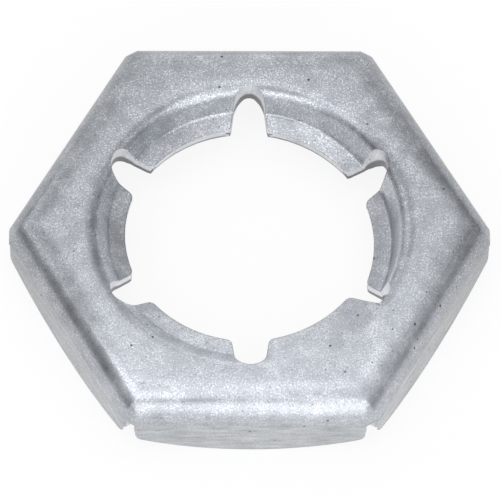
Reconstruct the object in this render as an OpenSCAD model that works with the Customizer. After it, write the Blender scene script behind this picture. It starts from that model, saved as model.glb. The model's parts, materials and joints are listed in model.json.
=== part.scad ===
// Sheet metal lock nut: a hexagonal cap folded from one round blank of spring
// steel, with six lugs pressed down round the hole as one turn of a thread.
// Frame: millimetres, origin at the middle of the base, +Z up along the thread.
// The smooth bearing face is on top, and the nut stands on its six flanges.

/* [Cap] */
// Width across two opposite flats
across_flats = 24; // [23.5:0.5:30]
// Height from the rims of the flanges to the bearing face
height = 4.6; // [4.2:0.1:7]
// Thickness of the sheet
sheet = 0.8; // [0.5:0.05:0.9]
// Outside radius of the fold between the bearing face and each flange
fold_r = 2; // [1.4:0.1:2.2]
// What the press rounds off each corner of the hexagon at its widest
corner_cut = 0.24; // [0.1:0.02:0.3]

/* [Flanges] */
// Distance by which each end of a flange stops short of the corner it faces
corner_short = 0.43; // [0.3:0.01:1.2]
// Radius of the curved rim, which comes from the round blank
rim_r = 16.5; // [14:0.5:30]
// Radius of the lower corners of a flange, seen from the side
flange_corner_r = 0.75; // [0.6:0.05:1.2]
// Roll-over radius that the press leaves along the outer edges of a flange
edge_r = 0.25; // [0.1:0.05:0.35]
// Depth below the bearing face at which neighbouring flanges part
relief_drop = 1.8; // [1.4:0.1:1.9]
// Width of the slit between neighbouring flanges at its narrowest
slit_w = 0.12; // [0.06:0.02:0.18]

/* [Lugs] */
// Diameter of the circle on which the lug tips lie
bore_d = 14.1; // [12:0.1:14.4]
// Rise of the thread in one turn
pitch = 2; // [1:0.25:2.25]
// Depth of the first lug tip below the bearing face, where the turn begins
first_drop = 0.6; // [0.5:0.05:0.8]
// Radial distance from the lug tips to where a lug leaves the flat bearing face
lug_reach = 2.35; // [2.2:0.05:2.6]
// Outside radius of the bend where a lug leaves the bearing face
press_r = 1; // [0.95:0.05:1.1]
// Radial width of the flatter tip of a lug
tip_w = 1; // [0.8:0.05:1.1]
// Slope of the tip of a lug, in degrees
tip_slope = 14; // [8:1:16]
// Height of the upright land along the upper edge of each tip
tip_land = 0.25; // [0.15:0.05:0.35]
// Length of the soft crease on each side of the line between lug and tip
crease = 0.12; // [0.06:0.02:0.2]

/* [Notches] */
// Width of a notch at its round root
notch_w = 1.8; // [1.2:0.1:2]
// Radial depth of a notch beyond the circle of the lug tips
notch_depth = 1.9; // [1.6:0.05:2.2]
// Slope of each side of a notch away from its middle line, in degrees
notch_flare = 8; // [2:1:14]
// Radius of the corners of a lug, seen from above
lug_corner_r = 0.4; // [0.2:0.05:0.6]

/* [Hidden] */

$fn = 96;
steel = [0.72, 0.73, 0.75];

// A flange on each flat, and a notch between two lugs at each corner.
flats = 6;
flat_turn = 360 / flats;

flat_d = across_flats / 2;
wall_d = flat_d - sheet;
half_len = flat_d * tan(flat_turn / 2) - corner_short;
part_z = height - relief_drop;
corner_r = flat_d / cos(flat_turn / 2) - corner_cut;
dome_r = fold_r * 1.05;
bore_r = bore_d / 2;
press_start_r = bore_r + lug_reach;
notch_root_r = notch_w / 2;
notch_mid = bore_r + notch_depth - notch_root_r;

// Cutters run past what they cut by this much.
past = 0.6;
// Segments in each small rounding, and in each bend of a lug, above and below.
round_steps = 3;
bend_steps = 5;
inner_bend_steps = 2;
// The lugs' faces are lofted through stations this many degrees apart.
station = 6;
stations = 360 / station;
// The turn of thread begins at this azimuth and runs clockwise seen from above.
turn_start = -flat_turn / 2;
// Half of the angle in which the turn falls back to its start, inside a notch.
turn_gap = 6;
// The lofts reach this far inside the bore, which is cut afterwards, and this
// far out past the circle on which the lugs begin.
inside = 0.7;
lead = 0.4;

// Helpers

function polar(r, a) = [r * cos(a), r * sin(a)];

// Points on an arc from angle a0 to a1 in a number of steps.
function arc(mid, r, a0, a1, steps) =
    [for (i = [0:steps]) mid + polar(r, a0 + (a1 - a0) * i / steps)];

function mirrored(points) =
    [for (i = [len(points) - 1:-1:0]) [points[i][0], -points[i][1]]];

// Places children at each flat, with +Y pointing out through the flat.
module at_flats() {
    for (i = [0:flats - 1])
        rotate([0, 0, flat_turn * i])
            children();
}

// Turns a side view drawn in X and Y into an upright slab from y0 to y1.
module upright(y0, y1) {
    translate([0, y1, 0])
        rotate([90, 0, 0])
            linear_extrude(height = y1 - y0)
                children();
}

// Cap

// A long bar with a flat top and two rounded upper edges, along X.
module rounded_bar(half_w, top, r) {
    long = across_flats * 2;
    rotate([90, 0, 90])
        translate([0, 0, -long / 2])
            linear_extrude(height = long)
                union() {
                    translate([-half_w, -past])
                        square([2 * half_w, top - r + past]);
                    translate([r - half_w, -past])
                        square([2 * (half_w - r), top + past]);
                    for (side = [-1, 1])
                        translate([side * (half_w - r), top - r])
                            circle(r = r);
                }
}

// Three such bars crossed: a hexagonal block with folds mitred at its corners.
module hex_block(half_w, top, r) {
    intersection_for(i = [0:flats / 2 - 1])
        rotate([0, 0, flat_turn * i])
            rounded_bar(half_w, top, r);
}

// A turned dome that rounds the corners of the outer block where it is narrower.
module corner_dome() {
    rotate_extrude()
        union() {
            translate([0, -past])
                square([corner_r - dome_r, height + 2 * past]);
            translate([0, -past])
                square([corner_r, height - fold_r + past]);
            translate([corner_r - dome_r, height - fold_r])
                circle(r = dome_r);
        }
}

// The folded cap with its lugs pressed down: a solid block less the dish above
// the lugs and the hollow below the sheet, which stops at the lugs' underside.
module cap() {
    difference() {
        intersection() {
            hex_block(flat_d, height, fold_r);
            corner_dome();
        }
        difference() {
            translate([0, 0, -past])
                hex_block(wall_d, height - sheet + past, fold_r - sheet);
            lofted([for (i = [0:stations - 1]) lug_underside(station * i)]);
        }
        lofted([for (i = [0:stations - 1]) lug_topside(station * i)]);
    }
}

// Flanges

// One side of the gap at a corner, seen from above with the corner on +X: it
// follows the end of the flange that lies on the +Y side, then its rolled edge.
function gap_side() =
    let (out = polar(1, flat_turn / 2), along = polar(1, flat_turn / 2 - 90),
         roll_mid = out * (flat_d - edge_r) + along * (half_len - edge_r),
         slit_meet = (half_len * cos(flat_turn / 2) + slit_w / 2) / sin(flat_turn / 2))
    concat(
        [[wall_d, slit_w / 2]],
        [out * slit_meet + along * half_len],
        [for (p = arc([0, 0], edge_r, 90, 0, round_steps))
            roll_mid + out * p[0] + along * p[1]],
        [out * (flat_d + past) + along * (half_len - edge_r)]);

// The gap between two flanges at a corner.
module corner_gap() {
    translate([0, 0, -past])
        linear_extrude(height = part_z + past)
            polygon(concat(mirrored(gap_side()), gap_side(), [[across_flats, 0]]));
}

// The height of the middle of the rounding at a flange's lower corner.
function corner_z() =
    rim_r - sqrt(pow(rim_r - flange_corner_r, 2) - pow(half_len - flange_corner_r, 2));

// What is trimmed off one lower corner of a flange, seen from outside.
function corner_trim() =
    let (mid = [half_len - flange_corner_r, corner_z()],
         lean = asin(mid[0] / (rim_r - flange_corner_r)))
    concat(
        arc(mid, flange_corner_r, 0, lean - 90, round_steps),
        [[mid[0], -past], [half_len + past, -past], [half_len + past, mid[1]]]);

// The space below the curved rim of one flange, up to its lower corners.
module below_rim() {
    rim_len = 2 * half_len - flange_corner_r;
    upright(wall_d - past, flat_d + past)
        difference() {
            translate([-rim_len / 2, -past])
                square([rim_len, past + corner_z()]);
            translate([0, rim_r])
                circle(r = rim_r, $fn = 360);
        }
}

// The rolled outer edge of the rim, turned about the middle of the rim's arc.
module rim_edge() {
    sweep = 2 * asin((half_len + edge_r) / rim_r);
    profile = concat(
        arc([rim_r - edge_r, flat_d - edge_r], edge_r, 0, 90, round_steps),
        [[rim_r - edge_r, flat_d + past], [rim_r + past, flat_d + past],
         [rim_r + past, flat_d - edge_r]]);
    translate([0, 0, rim_r])
        rotate([-90, 0, 0])
            rotate([0, 0, 90 - sweep / 2])
                rotate_extrude(angle = sweep)
                    polygon(profile);
}

// What is cut away round one flange: below its rim, off its two lower corners,
// and the gap at the corner to its left.
module flange_cuts() {
    below_rim();
    for (side = [0, 1])
        mirror([side, 0, 0])
            upright(wall_d - past, flat_d + past)
                polygon(corner_trim());
    rotate([0, 0, flat_turn])
        corner_gap();
}

// The cap with its skirt cut to six flanges, and then with their rims rolled.
module flanged_cap() {
    difference() {
        difference() {
            cap();
            at_flats()
                flange_cuts();
        }
        at_flats()
            rim_edge();
    }
}

// Lugs

// Depth of the lug tips below the bearing face at azimuth a: one right-hand
// turn that deepens clockwise, with a quick return inside the starting notch.
function tip_drop(a) =
    let (turn = ((turn_start - a) % 360 + 360) % 360,
         back = turn < turn_gap ? turn + 360 : turn,
         last = 360 - turn_gap,
         share = back <= last ? back : last - (last - turn_gap) * (back - last) / (2 * turn_gap))
    first_drop + pitch * share / 360;

// The section of a lug's top face at azimuth a, as [radius, height, slope] for
// each of its points: bend, straight cone, soft crease and flatter tip. The cone
// is tangent to the bend and passes through the crease, which fixes its slope.
function lug_section(a, steps) =
    let (crease_r = bore_r + tip_w,
         crease_drop = tip_drop(a) - tip_w * tan(tip_slope),
         run = press_start_r - crease_r,
         reach = sqrt(run * run - (2 * press_r - crease_drop) * crease_drop),
         slope = 2 * atan(crease_drop / (run + reach)),
         up = polar(crease, slope),
         in = -polar(crease, tip_slope),
         line = [crease_r, height - crease_drop],
         soft = line + (up + in) / 4)
    concat(
        [for (i = [0:steps])
            let (turn = slope * i / steps)
            [press_start_r - press_r * sin(turn), height - press_r * (1 - cos(turn)), turn]],
        [concat(line + up, [slope]),
         concat(soft, [(slope + tip_slope) / 2]),
         concat(line + in, [tip_slope]),
         [bore_r - inside, height - tip_drop(a) - inside * tan(tip_slope), tip_slope]]);

// A path led outwards past its first point, along its first step, and closed
// over the top at height z.
function closed_over(path, z) =
    let (step = path[0] - path[1],
         start = path[0] + step * (lead / step[0]))
    concat([start], path, [[bore_r - inside, z], [start[0], z]]);

// The closed section of the dish above the lugs at azimuth a.
function lug_topside(a) =
    closed_over([for (p = lug_section(a, bend_steps)) [p[0], p[1]]], height + past);

// The closed section, at azimuth a, of what fills the dish down to the lugs'
// underside, one sheet thickness below their top face and square to it.
function lug_underside(a) =
    closed_over(
        [for (p = lug_section(a, inner_bend_steps))
            [p[0] + sheet * sin(p[2]), p[1] - sheet * cos(p[2])]],
        height);

// The closed section, at azimuth a, of what is cut away below the land of a tip:
// from there down its punched face leans back, square to the sheet.
function tip_relief(a) =
    let (land_end = [bore_r, height - tip_drop(a) - tip_land],
         lean = [sin(tip_slope), -cos(tip_slope)],
         low = land_end + lean * (sheet + past),
         top = land_end - lean * past)
    [low, [bore_r - inside, low[1]], [bore_r - inside, top[1]], top];

// A ring lofted through closed sections, one at each station.
module lofted(sections) {
    count = len(sections[0]);
    points = [for (i = [0:stations - 1], p = sections[i])
        concat(polar(p[0], station * i), [p[1]])];
    faces = [for (i = [0:stations - 1], j = [0:count - 1])
        let (next = (i + 1) % stations,
             a = i * count + j,
             b = i * count + (j + 1) % count,
             c = next * count + (j + 1) % count,
             d = next * count + j)
        each [[a, c, b], [a, d, c]]];
    polyhedron(points = points, faces = faces);
}

// Hole

// One notch, pointing along +X: a round root with sides that open inwards.
module notch() {
    root = [notch_mid, 0];
    far = root + polar(notch_root_r, 90 - notch_flare);
    mouth = [0, far[1] + far[0] * tan(notch_flare)];
    translate(root)
        circle(r = notch_root_r);
    polygon([far, mouth, [mouth[0], -mouth[1]], [far[0], -far[1]]]);
}

// The spandrel that rounds the corner of a lug beside a notch along +X.
module lug_corner_trim() {
    reach = bore_r + lug_corner_r;
    side = notch_root_r + lug_corner_r + notch_mid * sin(notch_flare);
    turn = asin(side / reach) - notch_flare;
    polygon(concat(
        arc(polar(reach, turn), lug_corner_r, turn + 180, 270 - notch_flare, round_steps),
        [polar(bore_r - inside, turn / 2), polar(bore_r - inside, turn)]));
}

module hole() {
    translate([0, 0, -past])
        cylinder(r = bore_r, h = height + 2 * past);
    for (i = [0:flats - 1])
        rotate([0, 0, turn_start + flat_turn * i])
            translate([0, 0, -past])
                linear_extrude(height = height + 2 * past) {
                    notch();
                    for (side = [0, 1])
                        mirror([0, side])
                            lug_corner_trim();
                }
}

// The nut

module lock_nut() {
    color(steel)
        difference() {
            difference() {
                flanged_cap();
                hole();
            }
            lofted([for (i = [0:stations - 1]) tip_relief(station * i)]);
        }
}

lock_nut();
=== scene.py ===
"""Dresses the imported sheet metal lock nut: its zinc coating, a pale floor and a soft studio."""

import json
import logging
import math
from dataclasses import dataclass, field
from enum import Enum
from typing import Any, Dict, List, Optional, Sequence, Set, Tuple, Union

import bpy
from mathutils import Matrix, Vector

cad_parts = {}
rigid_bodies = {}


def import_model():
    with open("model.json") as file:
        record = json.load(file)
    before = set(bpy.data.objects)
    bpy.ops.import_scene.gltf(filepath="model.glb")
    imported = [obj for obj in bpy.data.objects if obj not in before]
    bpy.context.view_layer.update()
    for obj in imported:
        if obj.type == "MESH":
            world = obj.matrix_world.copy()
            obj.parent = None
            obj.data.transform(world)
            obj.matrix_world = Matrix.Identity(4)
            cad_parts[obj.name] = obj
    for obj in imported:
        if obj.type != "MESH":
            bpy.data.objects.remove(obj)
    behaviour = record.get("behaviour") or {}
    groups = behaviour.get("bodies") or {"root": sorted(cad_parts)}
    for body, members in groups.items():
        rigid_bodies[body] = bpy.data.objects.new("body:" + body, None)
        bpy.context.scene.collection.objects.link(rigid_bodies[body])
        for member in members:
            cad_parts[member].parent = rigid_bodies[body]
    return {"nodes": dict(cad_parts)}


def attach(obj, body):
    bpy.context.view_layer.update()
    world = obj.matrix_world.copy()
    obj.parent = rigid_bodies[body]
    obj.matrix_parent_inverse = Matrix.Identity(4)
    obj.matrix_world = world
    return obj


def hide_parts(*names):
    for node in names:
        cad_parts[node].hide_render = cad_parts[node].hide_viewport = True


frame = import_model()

LOG = logging.getLogger("lock_nut")
MM = 0.001
HEXAGON_STEP_DEG = 60.0
WHITE = (1.0, 1.0, 1.0)
CUT_MARK = "cut_mark"

Pair = Tuple[float, float]
Triple = Tuple[float, float, float]
Operand = Union["Signal", float]


class Body(Enum):
    """The CAD bodies that pieces ride on."""

    ROOT = "root"


class Slot(Enum):
    """The record's material slots."""

    ZINC_STEEL = "zinc_steel"


class Signal:
    """A shader value: wraps an output socket so that it can be used in sums."""

    def __init__(self, graph: "Graph", socket: bpy.types.NodeSocket) -> None:
        """Wraps a socket.

        Args:
            graph: the graph that the socket's node is in.
            socket: the output socket.
        """
        self.graph = graph
        self.socket = socket

    def _math(self, operation: str, *values: Operand) -> "Signal":
        """Adds a Math node.

        Args:
            operation: the node's operation.
            values: its inputs in order.

        Returns:
            The node's result.
        """
        return self.graph.add("ShaderNodeMath", {"operation": operation}, dict(enumerate(values)))

    def __add__(self, other: Operand) -> "Signal":
        """Sum."""
        return self._math("ADD", self, other)

    __radd__ = __add__

    def __sub__(self, other: Operand) -> "Signal":
        """Difference."""
        return self._math("SUBTRACT", self, other)

    def __rsub__(self, other: Operand) -> "Signal":
        """Difference, the other way round."""
        return self._math("SUBTRACT", other, self)

    def __mul__(self, other: Operand) -> "Signal":
        """Product."""
        return self._math("MULTIPLY", self, other)

    __rmul__ = __mul__

    def size(self) -> "Signal":
        """The value without its sign."""
        return self._math("ABSOLUTE", self)

    def exponent(self) -> "Signal":
        """The number e to the power of the value."""
        return self._math("EXPONENT", self)

    def at_most(self, other: Operand) -> "Signal":
        """The smaller of two values."""
        return self._math("MINIMUM", self, other)

    def within(self, low: float, high: float) -> "Signal":
        """The value, kept between two limits."""
        return self._math("MAXIMUM", self, low).at_most(high)

    def ramp(self, low: float, high: float) -> "Signal":
        """Goes smoothly from 0 at low to 1 at high, or the other way where high is the smaller.

        Args:
            low: the value that gives 0.
            high: the value that gives 1.

        Returns:
            The eased value.
        """
        rising = self.graph.add(
            "ShaderNodeMapRange",
            {"interpolation_type": "SMOOTHSTEP"},
            {"Value": self, "From Min": min(low, high), "From Max": max(low, high)},
        )
        return rising if low <= high else 1 - rising


class Graph:
    """A node tree that is filled in code."""

    def __init__(self, owner: Union[bpy.types.Material, bpy.types.World]) -> None:
        """Turns an owner's nodes on and empties them.

        Args:
            owner: the material or the world.
        """
        owner.use_nodes = True
        self.tree = owner.node_tree
        self.tree.nodes.clear()

    def add(
        self,
        kind: str,
        settings: Optional[Dict[str, Any]] = None,
        inputs: Optional[Dict[Union[str, int], Any]] = None,
        output: Union[str, int] = 0,
    ) -> Optional[Signal]:
        """Adds one node of any kind.

        Args:
            kind: the node's type name.
            settings: its own properties, set first.
            inputs: values or signals of its sockets, by name or number.
            output: the socket that is returned, by name or number.

        Returns:
            The chosen output, or nothing where the node has none.
        """
        node = self.tree.nodes.new(kind)
        for name, value in (settings or {}).items():
            setattr(node, name, value)
        for name, value in (inputs or {}).items():
            if isinstance(value, Signal):
                self.tree.links.new(value.socket, node.inputs[name])
            else:
                node.inputs[name].default_value = value
        return Signal(self, node.outputs[output]) if len(node.outputs) else None

    def blend(self, share: Operand, low: Any, high: Any) -> Signal:
        """Mixes two colours.

        Args:
            share: 0 gives the first colour, 1 the second.
            low: the first colour, a triple or a signal.
            high: the second colour, a triple or a signal.

        Returns:
            The mixed colour.
        """
        inputs = {0: share, 6: _colour(low), 7: _colour(high)}
        return self.add("ShaderNodeMix", {"data_type": "RGBA"}, inputs, 2)

    def scale(self, triple: Any, level: Operand) -> Signal:
        """A colour or a place times a level."""
        inputs = {0: triple, "Scale": level}
        return self.add("ShaderNodeVectorMath", {"operation": "SCALE"}, inputs)

    def axis(self, triple: Signal, number: int) -> Signal:
        """One part of a place or a direction: 0 for X, 1 for Y and 2 for Z."""
        return self.add("ShaderNodeSeparateXYZ", inputs={0: triple}, output=number)


def _colour(value: Any) -> Any:
    """Adds an alpha of 1 to a plain colour and leaves a signal as it is."""
    return value if isinstance(value, Signal) else (*value, 1.0)


@dataclass(frozen=True)
class Grain:
    """One layer of noise: its cycles to a millimetre, how it is built, and how it is laid."""

    scale: float
    detail: float
    roughness: float
    stretch: Triple = (1.0, 1.0, 1.0)
    shift: Triple = (0.0, 0.0, 0.0)

    def signal(self, graph: Graph, place: Signal) -> Signal:
        """The noise at a place.

        Args:
            graph: the graph that it is added to.
            place: the place in millimetres.

        Returns:
            A value round 0.
        """
        moved = graph.add(
            "ShaderNodeMapping",
            inputs={"Vector": place, "Location": self.shift, "Scale": self.stretch},
        )
        noise = graph.add(
            "ShaderNodeTexNoise",
            inputs={
                "Vector": moved,
                "Scale": self.scale,
                "Detail": self.detail,
                "Roughness": self.roughness,
            },
        )
        return noise - 0.5


class Noise(Enum):
    """The noises that the coating is made of, from broad to fine."""

    CLOUDS = Grain(0.16, 3.0, 0.55)
    BLOTCHES = Grain(0.9, 3.0, 0.5, shift=(7.0, 3.0, 1.0))
    STREAKS = Grain(1.3, 4.0, 0.65, stretch=(0.36, 0.36, 2.3), shift=(5.0, 2.0, 8.0))
    SPECKS = Grain(8.0, 0.0, 0.5, shift=(2.0, 6.0, 3.0))
    FLAKES = Grain(12.0, 1.0, 0.5, shift=(1.0, 9.0, 4.0))


Noises = Dict[Noise, Signal]


@dataclass(frozen=True)
class Recipe:
    """A value that is a middle plus a share of some noises."""

    middle: float
    shares: Dict[Noise, float]

    def signal(self, noises: Noises) -> Operand:
        """The value at a place.

        Args:
            noises: the noises there.

        Returns:
            The middle plus each noise times its share.
        """
        total: Operand = self.middle
        for noise, share in self.shares.items():
            total = noises[noise] * share + total
        return total


@dataclass(frozen=True)
class ZincCoating:
    """Matt, mottled zinc on spring steel, with a fine white frost, punched edges and a few pits.

    Each pair is what Signal.ramp goes between, apart from roughness_limits. A face's level is 1
    where it lies flat and 0 where it stands upright. The painted falloff is painted light and
    shade:
    it makes the colour lighter towards the front and darker towards the sides and back, as the
    light falls; its first number is for Y, the second for X squared and the third for Y squared.
    """

    light: Triple = (0.50, 0.526, 0.57)
    dark: Triple = (0.295, 0.312, 0.34)
    tone: Recipe = Recipe(0.5, {Noise.CLOUDS: 0.5, Noise.BLOTCHES: 0.8})
    # Painted light and shade: a colour factor, lighter towards the front, darker towards the
    # sides and back.
    painted_falloff: Triple = (-0.0185, -0.0012, -0.0001)

    frost: Triple = (0.75, 0.77, 0.808)
    frost_grain: Recipe = Recipe(0.0, {Noise.FLAKES: 1.0, Noise.BLOTCHES: 0.35})
    frost_ramp: Pair = (-0.02, 0.24)
    frost_share: float = 0.85
    frost_rise_to_back: float = 0.02

    pit: Triple = (0.08, 0.08, 0.085)
    speck_ramp: Pair = (-0.16, -0.3)
    speck_share: float = 0.35
    pit_spacing_mm: float = 0.9
    pit_wave: float = 0.08
    pit_ramp: Pair = (0.1, 0.05)
    pit_clouds_ramp: Pair = (-0.02, 0.1)
    pit_roughness: float = 0.3
    pit_depth: float = 1.5

    wall_light: Triple = (0.55, 0.565, 0.585)
    wall_dark: Triple = (0.24, 0.248, 0.258)
    wall_tone: Recipe = Recipe(
        0.52, {Noise.STREAKS: 1.9, Noise.BLOTCHES: 0.5, Noise.FLAKES: 1.1}
    )
    wall_level_ramp: Pair = (0.5, 0.12)
    wall_share: float = 0.8

    sheared: Triple = (0.61, 0.625, 0.65)
    torn: Triple = (0.13, 0.13, 0.14)
    torn_share: float = 0.38
    torn_blur: float = 0.08
    torn_wave: float = 0.2
    cut_tone: Recipe = Recipe(1.0, {Noise.FLAKES: 0.7, Noise.BLOTCHES: 0.9})
    cut_ramp: Pair = (0.4, 0.6)
    cut_share: float = 0.85

    # Painted light: the collar's cone, picked by its reach and its slope, is made a quarter
    # lighter.
    cone_reach_squared_ramp: Pair = (92.0, 80.0)
    cone_level_ramp: Pair = (0.92, 0.75)
    cone_painted_light: float = 0.25

    metal: float = 0.9
    roughness: Recipe = Recipe(0.32, {Noise.FLAKES: -0.25, Noise.BLOTCHES: 0.2})
    roughness_limits: Pair = (0.12, 0.8)
    relief: Recipe = Recipe(0.0, {Noise.FLAKES: 0.7, Noise.BLOTCHES: 0.6})
    relief_mm: float = 0.004
    edge_mm: float = 0.13
    edge_samples: int = 6

    def build(self, name: str) -> bpy.types.Material:
        """Makes the material.

        Args:
            name: the material's name.

        Returns:
            The material.
        """
        material = bpy.data.materials.new(name)
        graph = Graph(material)
        place = graph.scale(graph.add("ShaderNodeTexCoord", output="Object"), 1 / MM)
        noises = {noise: noise.value.signal(graph, place) for noise in Noise}
        facing = graph.add("ShaderNodeNewGeometry", output="Normal")
        level = graph.axis(facing, 2).size()
        pits = self._pits(graph, place, noises)
        colour = self._face(graph, place, noises)
        colour = self._with_walls(graph, colour, level, noises)
        colour = self._with_cuts(graph, colour, noises)
        colour = graph.blend(pits, colour, self.pit)
        # Painted light and shade: the colour is scaled lighter at the front and on the collar's
        # cone, darker to the sides and back.
        colour = graph.scale(colour, self._painted_light(graph, place, level))
        roughness = self.roughness.signal(noises) + pits * self.pit_roughness
        shader = graph.add(
            "ShaderNodeBsdfPrincipled",
            inputs={
                "Base Color": colour,
                "Metallic": self.metal,
                "Roughness": roughness.within(*self.roughness_limits),
                "Normal": self._relief(graph, pits, noises),
            },
        )
        graph.add("ShaderNodeOutputMaterial", inputs={"Surface": shader})
        return material

    def _face(self, graph: Graph, place: Signal, noises: Noises) -> Signal:
        """The flat faces: two greys, white frost that is fuller at the back, and dark specks.

        Args:
            graph: the coating's graph.
            place: the place in millimetres.
            noises: the noises there.

        Returns:
            The colour.
        """
        tone = self.tone.signal(noises).within(0.0, 1.0)
        colour = graph.blend(tone, self.dark, self.light)
        frosted = self.frost_grain.signal(noises).ramp(*self.frost_ramp)
        fullness = graph.axis(place, 1) * self.frost_rise_to_back + self.frost_share
        colour = graph.blend(frosted * fullness.at_most(1.0), colour, self.frost)
        specks = noises[Noise.SPECKS].ramp(*self.speck_ramp)
        return graph.blend(specks * self.speck_share, colour, self.pit)

    def _with_walls(self, graph: Graph, colour: Signal, level: Signal, noises: Noises) -> Signal:
        """Lays the streaks of rolling over the upright walls of the flanges.

        Args:
            graph: the coating's graph.
            colour: the colour so far.
            level: 1 where a face lies flat and 0 where it stands upright.
            noises: the noises at the place.

        Returns:
            The colour with the walls.
        """
        tone = self.wall_tone.signal(noises).within(0.0, 1.0)
        rolled = graph.blend(tone, self.wall_dark, self.wall_light)
        return graph.blend(level.ramp(*self.wall_level_ramp) * self.wall_share, colour, rolled)

    def _with_cuts(self, graph: Graph, colour: Signal, noises: Noises) -> Signal:
        """Colours the punched walls: sheared and bright at the top, torn and dark below.

        Args:
            graph: the coating's graph.
            colour: the colour so far.
            noises: the noises at the place.

        Returns:
            The colour with the punched walls.
        """
        mark = graph.add("ShaderNodeAttribute", {"attribute_name": CUT_MARK}, output="Fac")
        torn_mark = 1 + self.torn_share
        height = mark + noises[Noise.STREAKS] * self.torn_wave
        torn = height.ramp(torn_mark + self.torn_blur, torn_mark - self.torn_blur)
        cut = graph.blend(torn, self.sheared, self.torn)
        cut = graph.scale(cut, self.cut_tone.signal(noises))
        return graph.blend(mark.ramp(*self.cut_ramp) * self.cut_share, colour, cut)

    def _painted_light(self, graph: Graph, place: Signal, level: Signal) -> Signal:
        """Painted light and shade: lighter at the front of the flat and on the collar's cone,
        darker to the sides and back.

        Args:
            graph: the coating's graph.
            place: the place in millimetres.
            level: 1 where a face lies flat and 0 where it stands upright.

        Returns:
            A factor round 1.
        """
        x, y = (graph.axis(place, number) for number in (0, 1))
        along, across, bowed = self.painted_falloff
        in_reach = (x * x + y * y).ramp(*self.cone_reach_squared_ramp)
        cone = in_reach * level.ramp(*self.cone_level_ramp)
        # Painted light and shade: lighter towards the front, darker towards the sides and back.
        slope = 1 + y * along + x * x * across + y * y * bowed
        # Painted light: the collar's cone is made lighter.
        return slope * (1 + cone * self.cone_painted_light)

    def _pits(self, graph: Graph, place: Signal, noises: Noises) -> Signal:
        """The small dark pits, which lie where the broad clouds are light.

        Args:
            graph: the coating's graph.
            place: the place in millimetres.
            noises: the noises there.

        Returns:
            1 in a pit and 0 elsewhere.
        """
        cells = graph.add(
            "ShaderNodeTexVoronoi",
            {"feature": "F1"},
            {"Vector": place, "Scale": 1 / self.pit_spacing_mm, "Randomness": 1.0},
            "Distance",
        )
        pits = (cells + noises[Noise.BLOTCHES] * self.pit_wave).ramp(*self.pit_ramp)
        return pits * noises[Noise.CLOUDS].ramp(*self.pit_clouds_ramp)

    def _relief(self, graph: Graph, pits: Signal, noises: Noises) -> Signal:
        """The surface's fine relief, on edges that are rounded a little.

        Args:
            graph: the coating's graph.
            pits: 1 in a pit and 0 elsewhere.
            noises: the noises at the place.

        Returns:
            The normal.
        """
        rounded = graph.add(
            "ShaderNodeBevel", {"samples": self.edge_samples}, {"Radius": self.edge_mm * MM}
        )
        return graph.add(
            "ShaderNodeBump",
            inputs={
                "Strength": 1.0,
                "Distance": self.relief_mm * MM,
                "Height": self.relief.signal(noises) - pits * self.pit_depth,
                "Normal": rounded,
            },
        )


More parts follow.
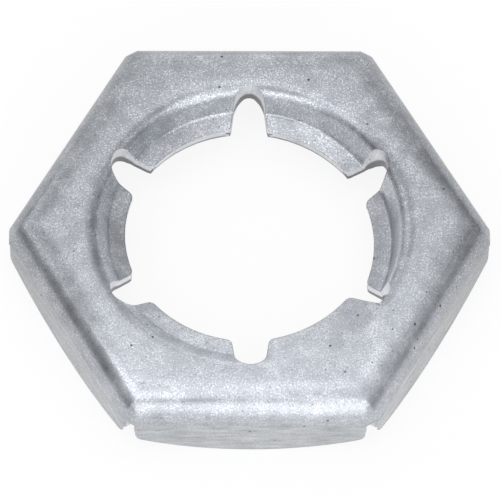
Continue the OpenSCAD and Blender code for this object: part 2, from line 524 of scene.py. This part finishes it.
@dataclass
class LockNut:
    """The one folded sheet: the CAD solid, with its facets smoothed and its cuts marked.

    A reach is a distance from the thread's axis, and a z is the upward part of a face's normal.
    The land is the upright face at a lug's tip; the punched face below it leans back. A level is
    a height in a punched wall, from 0 at the lower edge to 1 at the upper edge.
    """

    node: str = "lock_nut"
    coating: ZincCoating = field(default_factory=ZincCoating)
    weld_mm: float = 0.0004
    smooth_deg: float = 32.0
    upright_z: float = 0.02
    hole_reach_mm: float = 9.3
    tip_reach_mm: float = 7.5
    land_reach_mm: float = 7.06
    land_level: float = 0.69
    leaning_z: float = -0.242
    leaning_tolerance: float = 0.05
    end_turn_deg: float = 12.0

    def build(self) -> bpy.types.Object:
        """Copies the CAD solid, welds it, smooths it and gives it its coating.

        Returns:
            The finished piece.
        """
        source = frame["nodes"][self.node]
        piece = bpy.data.objects.new("folded_sheet", source.data.copy())
        bpy.context.scene.collection.objects.link(piece)
        _select_only(piece)
        bpy.ops.object.mode_set(mode="EDIT")
        bpy.ops.mesh.select_all(action="SELECT")
        bpy.ops.mesh.remove_doubles(threshold=self.weld_mm * MM)
        bpy.ops.object.mode_set(mode="OBJECT")
        if piece.data.has_custom_normals:
            bpy.ops.mesh.customdata_custom_splitnormals_clear()
        bpy.ops.object.shade_smooth_by_angle(angle=math.radians(self.smooth_deg))
        self._mark_cuts(piece.data)
        piece.data.materials.clear()
        piece.data.materials.append(self.coating.build("zinc_steel"))
        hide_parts(self.node)
        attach(piece, Body.ROOT.value)
        return piece

    def _mark_cuts(self, mesh: bpy.types.Mesh) -> None:
        """Marks the punched walls for the coating: 1 plus the level in the wall, and 0 elsewhere.

        Args:
            mesh: the welded mesh of the piece.
        """
        upward: Set[int] = set()
        upright: Set[int] = set()
        for face in mesh.polygons:
            if face.normal.z >= self.upright_z:
                upward.update(face.vertices)
            elif abs(face.normal.z) < self.upright_z:
                upright.update(face.vertices)
        marks = mesh.attributes.new(CUT_MARK, "FLOAT", "CORNER").data
        for face in mesh.polygons:
            levels = self._levels(face, upward, upright)
            for loop in face.loop_indices if levels else ():
                marks[loop].value = 1.0 + levels[mesh.loops[loop].vertex_index]

    def _levels(
        self, face: bpy.types.MeshPolygon, upward: Set[int], upright: Set[int]
    ) -> Dict[int, float]:
        """Finds how high the corners of a punched face lie in their wall.

        Args:
            face: the face.
            upward: the vertices of the faces that look up.
            upright: the vertices of the upright faces.

        Returns:
            The level at each of its vertices, or nothing where the face isn't punched.
        """
        reach = math.hypot(face.center.x, face.center.y) / MM
        leaning = abs(face.normal.z - self.leaning_z) < self.leaning_tolerance
        if leaning and reach < self.tip_reach_mm:
            return {v: self.land_level if v in upright else 0.0 for v in face.vertices}
        if abs(face.normal.z) > self.upright_z:
            return {}
        if reach < self.hole_reach_mm:
            low = self.land_level if reach < self.land_reach_mm else 0.0
            return {v: 1.0 if v in upward else low for v in face.vertices}
        return dict.fromkeys(face.vertices, 1.0) if self._is_end(face.normal) else {}

    def _is_end(self, normal: Vector) -> bool:
        """True for an upright face that closes the end of a flange: it looks along the flange."""
        turn = math.degrees(math.atan2(normal.y, normal.x)) % HEXAGON_STEP_DEG
        return min(turn, HEXAGON_STEP_DEG - turn) < self.end_turn_deg


@dataclass(frozen=True)
class Lamp:
    """A soft box: where it stands from the nut in millimetres, its size and its brightness."""

    name: str
    place_mm: Triple
    size_mm: Pair
    radiance: float

    def build(self, target: Vector) -> bpy.types.Object:
        """Makes the lamp and turns it to the nut.

        Args:
            target: the point that it lights, in metres.

        Returns:
            The lamp.
        """
        data = bpy.data.lights.new(self.name, "AREA")
        data.shape = "RECTANGLE"
        data.size = self.size_mm[0] * MM
        data.size_y = self.size_mm[1] * MM
        data.energy = self.radiance * math.pi * data.size * data.size_y
        lamp = bpy.data.objects.new(self.name, data)
        lamp.location = target + Vector(self.place_mm) * MM
        lamp.rotation_mode = "QUATERNION"
        lamp.rotation_quaternion = (lamp.location - target).to_track_quat("Z", "Y")
        bpy.context.scene.collection.objects.link(lamp)
        return lamp


@dataclass(frozen=True)
class SkyPatch:
    """A soft round patch of light in the sky: where it is, how sharp it is and its brightness."""

    azimuth_deg: float
    elevation_deg: float
    sharpness: float
    radiance: float

    def signal(self, graph: Graph, toward: Signal) -> Signal:
        """The patch's light.

        Args:
            graph: the world's graph.
            toward: the direction that is looked at.

        Returns:
            The radiance, which falls off evenly round the patch's middle.
        """
        turn, rise = math.radians(self.azimuth_deg), math.radians(self.elevation_deg)
        level = math.cos(rise)
        middle = (level * math.cos(turn), level * math.sin(turn), math.sin(rise))
        near = graph.add(
            "ShaderNodeVectorMath", {"operation": "DOT_PRODUCT"}, {0: toward, 1: middle}, "Value"
        )
        return ((near - 1) * self.sharpness).exponent() * self.radiance


@dataclass
class Studio:
    """The pale floor, the lamps, the sky and the camera, which stands where the photograph's did.

    The shadow's share is how much of the plain lit floor the camera sees; the rest is pure white.
    The camera's azimuth turns from the front, and its shift is along its own picture.
    """

    floor_mm: float = 3000.0
    floor_colour: Triple = (0.9, 0.9, 0.9)
    shadow_share: float = 0.12
    lamps: Sequence[Lamp] = (Lamp("front_strip", (0.0, -262.0, 145.0), (480.0, 120.0), 0.95),)
    sky_base: float = 0.02
    patches: Sequence[SkyPatch] = (
        SkyPatch(90.0, 5.0, 5.0, 1.54),
        SkyPatch(270.0, 5.0, 5.0, 1.2),
        SkyPatch(300.0, 8.0, 14.0, 1.0),
        SkyPatch(240.0, 20.0, 14.0, 0.7),
        SkyPatch(0.0, 32.0, 14.0, 0.8),
        SkyPatch(150.0, 32.0, 14.0, 1.3),
        SkyPatch(0.0, 90.0, 14.0, 1.78),
        SkyPatch(90.0, 44.0, 40.0, 0.91),
        SkyPatch(210.0, 44.0, 40.0, 1.53),
        SkyPatch(30.0, 56.0, 40.0, 1.08),
        SkyPatch(300.0, 56.0, 40.0, 1.9),
        SkyPatch(316.0, 36.0, 40.0, 1.3),
        SkyPatch(224.0, 36.0, 40.0, 0.5),
        SkyPatch(90.0, 70.0, 40.0, 0.96),
        SkyPatch(209.0, 63.0, 60.0, 2.8),
    )
    azimuth_deg: float = -1.484
    elevation_deg: float = 61.454
    roll_deg: float = 1.414
    distance_mm: float = 414.94
    lens_mm: float = 529.2
    sensor_mm: float = 36.0
    clip_m: Pair = (0.01, 20.0)
    shift_mm: Pair = (-0.0261, 1.5837)
    target_mm: Triple = (0.0, 0.0, 4.6)

    def build(self) -> None:
        """Builds the studio round the nut."""
        self._floor()
        target = Vector(self.target_mm) * MM
        for lamp in self.lamps:
            lamp.build(target)
        self._sky()
        self._camera(target)
        bpy.context.scene.view_settings.view_transform = "Standard"

    def _floor(self) -> None:
        """Adds the floor: white to the camera and to reflections, but with the nut's shadow."""
        _select_none()
        bpy.ops.mesh.primitive_plane_add(size=self.floor_mm * MM, location=(0, 0, 0))
        floor = bpy.context.object
        floor.name = "studio_floor"
        material = bpy.data.materials.new("studio_floor")
        graph = Graph(material)
        camera, glossy, transmission = (
            graph.add("ShaderNodeLightPath", output=name)
            for name in ("Is Camera Ray", "Is Glossy Ray", "Is Transmission Ray")
        )
        seen = (camera + glossy + transmission).at_most(1.0)
        matt = graph.add("ShaderNodeBsdfDiffuse", inputs={"Color": _colour(self.floor_colour)})
        glow = graph.add("ShaderNodeEmission", inputs={"Color": _colour(WHITE), "Strength": 1.0})
        white_share = seen * (1 - self.shadow_share)
        mixed = graph.add("ShaderNodeMixShader", inputs={0: white_share, 1: matt, 2: glow})
        graph.add("ShaderNodeOutputMaterial", inputs={"Surface": mixed})
        floor.data.materials.append(material)

    def _sky(self) -> None:
        """Makes the sky out of its soft patches of light."""
        world = bpy.data.worlds.new("studio_sky")
        bpy.context.scene.world = world
        graph = Graph(world)
        toward = graph.add("ShaderNodeTexCoord", output="Generated")
        level: Operand = self.sky_base
        for patch in self.patches:
            level = patch.signal(graph, toward) + level
        colour = graph.scale(WHITE, level)
        sky = graph.add("ShaderNodeBackground", inputs={"Color": colour, "Strength": 1.0})
        graph.add("ShaderNodeOutputWorld", inputs={"Surface": sky})

    def _camera(self, target: Vector) -> None:
        """Sets the camera at the photograph's angle.

        Args:
            target: the middle of the bearing face, in metres.
        """
        angles = (self.azimuth_deg, self.elevation_deg, self.roll_deg)
        turn, rise, roll = (math.radians(angle) for angle in angles)
        right = Vector((math.cos(turn), math.sin(turn), 0.0))
        front = Vector((math.sin(turn), -math.cos(turn), 0.0))
        back = front * math.cos(rise) + Vector((0.0, 0.0, math.sin(rise)))
        up = back.cross(right)
        across = right * math.cos(roll) + up * math.sin(roll)
        upward = up * math.cos(roll) - right * math.sin(roll)
        data = bpy.data.cameras.new("camera")
        data.sensor_width = self.sensor_mm
        data.lens = self.lens_mm
        data.clip_start, data.clip_end = self.clip_m
        camera = bpy.data.objects.new("camera", data)
        shift = across * self.shift_mm[0] + upward * self.shift_mm[1]
        place = target + (back * self.distance_mm - shift) * MM
        rows = Matrix((across, upward, back)).transposed().to_4x4()
        camera.matrix_world = Matrix.Translation(place) @ rows
        bpy.context.scene.collection.objects.link(camera)
        bpy.context.scene.camera = camera


def _select_none() -> None:
    """Deselects everything."""
    for item in bpy.context.view_layer.objects:
        item.select_set(False)


def _select_only(piece: bpy.types.Object) -> None:
    """Selects one piece alone and makes it active.

    Args:
        piece: the piece.
    """
    _select_none()
    bpy.context.view_layer.objects.active = piece
    piece.select_set(True)


def main() -> None:
    """Builds the piece and the studio.
    """
    piece = LockNut().build()
    mesh = piece.data
    LOG.info("%s: %d vertices, %d faces", piece.name, len(mesh.vertices), len(mesh.polygons))
    Studio().build()
    bpy.context.view_layer.update()


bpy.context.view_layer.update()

if __name__ == "__main__":
    logging.basicConfig(level=logging.INFO, format="%(name)s: %(message)s")
    main()
